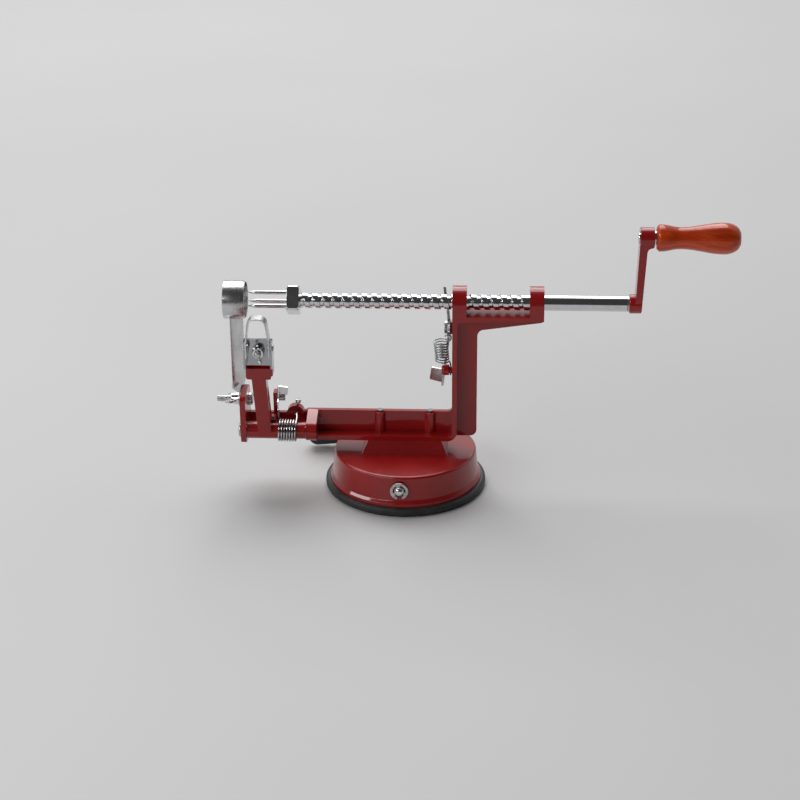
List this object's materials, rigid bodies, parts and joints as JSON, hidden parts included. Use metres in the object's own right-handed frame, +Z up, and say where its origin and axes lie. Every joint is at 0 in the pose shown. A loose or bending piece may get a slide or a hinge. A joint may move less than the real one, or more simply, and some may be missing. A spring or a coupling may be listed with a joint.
{
  "type": "hand cranked apple peeler",
  "caption": "Hand cranked apple peeler, slicer and corer: a screw shaft with a fork feeds fruit past a sprung peeling arm and a coring blade, on a red cast frame with a lever suction base.",
  "frame": {"origin": "centre of the suction pad's underside, on the table", "axes": "+X along the screw shaft towards the crank, +Y away from the side with the peeling arm, +Z up"},
  "size_m": [0.3154, 0.1027, 0.1723],
  "materials": {
    "enamel": "glossy deep red enamel",
    "chrome": "bright plated",
    "steel": "plain zinc plated steel",
    "blade_steel": "rolled stainless strip",
    "pad_rubber": "matte black rubber",
    "black_plastic": "satin black",
    "varnished_wood": "glossy orange-brown varnish"
  },
  "bodies": {
    "frame": {"base_housing": "enamel", "suction_pad": "pad_rubber", "main_frame": "enamel", "frame_bolts": "steel", "pawl_pivot_screw": "steel", "pawl_spring": "chrome", "arm_rod": "steel", "arm_spring": "chrome", "slicer_bolt": "steel", "slicer_washer": "steel", "catch_screw": "steel", "leg_screw": "chrome"},
    "lever": {"lever_shaft": "chrome", "shaft_clip": "steel", "suction_lever": "steel", "lever_grip": "black_plastic"},
    "stem": {"suction_stem": "steel"},
    "feed_slide": {"crank_washer": "steel"},
    "screw_shaft": {"feed_shaft": "chrome", "fork_collar": "chrome", "fork_prongs": "chrome", "crank_arm": "enamel", "crank_screw": "steel", "handle_axle": "chrome", "handle_washer": "chrome"},
    "handle": {"handle_grip": "varnished_wood"},
    "pawl": {"feed_pawl": "steel"},
    "arm": {"peeler_arm": "enamel", "blade_bracket": "chrome", "peeler_blade": "blade_steel", "blade_rivets": "steel", "bracket_bolt": "steel"},
    "bracket_nut": {"bracket_wing_nut": "chrome"},
    "slicer": {"slicer_blade": "blade_steel"},
    "slicer_nut": {"slicer_wing_nut": "chrome"},
    "catch": {"arm_catch": "chrome"}
  },
  "joints": [
    {"name": "shaft_feed", "type": "slide", "parent": "frame", "child": "feed_slide", "axis": [1, 0, 0], "range_m": [-0.0241, 0.0781]},
    {"name": "crank_turn", "type": "hinge", "parent": "feed_slide", "child": "screw_shaft", "pos_m": [0.134, 0, 0.121], "axis": [1, 0, 0], "range_deg": [-1440, 4680]},
    {"name": "handle_spin", "type": "hinge", "parent": "screw_shaft", "child": "handle", "pos_m": [0.174, 0, 0.1629], "axis": [1, 0, 0], "continuous": true},
    {"name": "pawl_release", "type": "hinge", "parent": "frame", "child": "pawl", "pos_m": [0.0268, 0.004, 0.103], "axis": [-1, 0, 0], "range_deg": [0, 7], "stiffness_Nm_per_rad": 0.3, "springref_deg": -11.46, "deforming": ["pawl_spring"]},
    {"name": "arm_swing", "type": "hinge", "parent": "frame", "child": "arm", "pos_m": [-0.0786, -0.014, 0.0405], "axis": [1, 0, 0], "range_deg": [-12, 40], "stiffness_Nm_per_rad": 1.2, "deforming": ["arm_spring"]},
    {"name": "bracket_nut_turn", "type": "hinge", "parent": "arm", "child": "bracket_nut", "pos_m": [-0.08568, -0.034, 0.10035], "axis": [0, -1, 0], "range_deg": [0, 180]},
    {"name": "slicer_swing", "type": "hinge", "parent": "frame", "child": "slicer", "pos_m": [-0.1012, 0, 0.0553], "axis": [-1, 0, 0], "range_deg": [0, 80]},
    {"name": "slicer_nut_turn", "type": "hinge", "parent": "frame", "child": "slicer_nut", "pos_m": [-0.107, 0, 0.0553], "axis": [-1, 0, 0], "range_deg": [0, 180]},
    {"name": "catch_turn", "type": "hinge", "parent": "frame", "child": "catch", "pos_m": [-0.0782, -0.002, 0.0575], "axis": [-1, 0, 0], "range_deg": [-15, 0]},
    {"name": "lever_turn", "type": "hinge", "parent": "frame", "child": "lever", "pos_m": [-0.0018, 0, 0.0158], "axis": [0, 1, 0], "range_deg": [0, 180]},
    {"name": "stem_lift", "type": "slide", "parent": "frame", "child": "stem", "axis": [0, 0, 1], "range_m": [0, 0.0036]}
  ],
  "couplings": [
    {"joint": "shaft_feed", "follows": "crank_turn", "m_per_rad": 0.00095493},
    {"joint": "stem_lift", "follows": "lever_turn", "m_per_rad": 0.0011141}
  ]
}
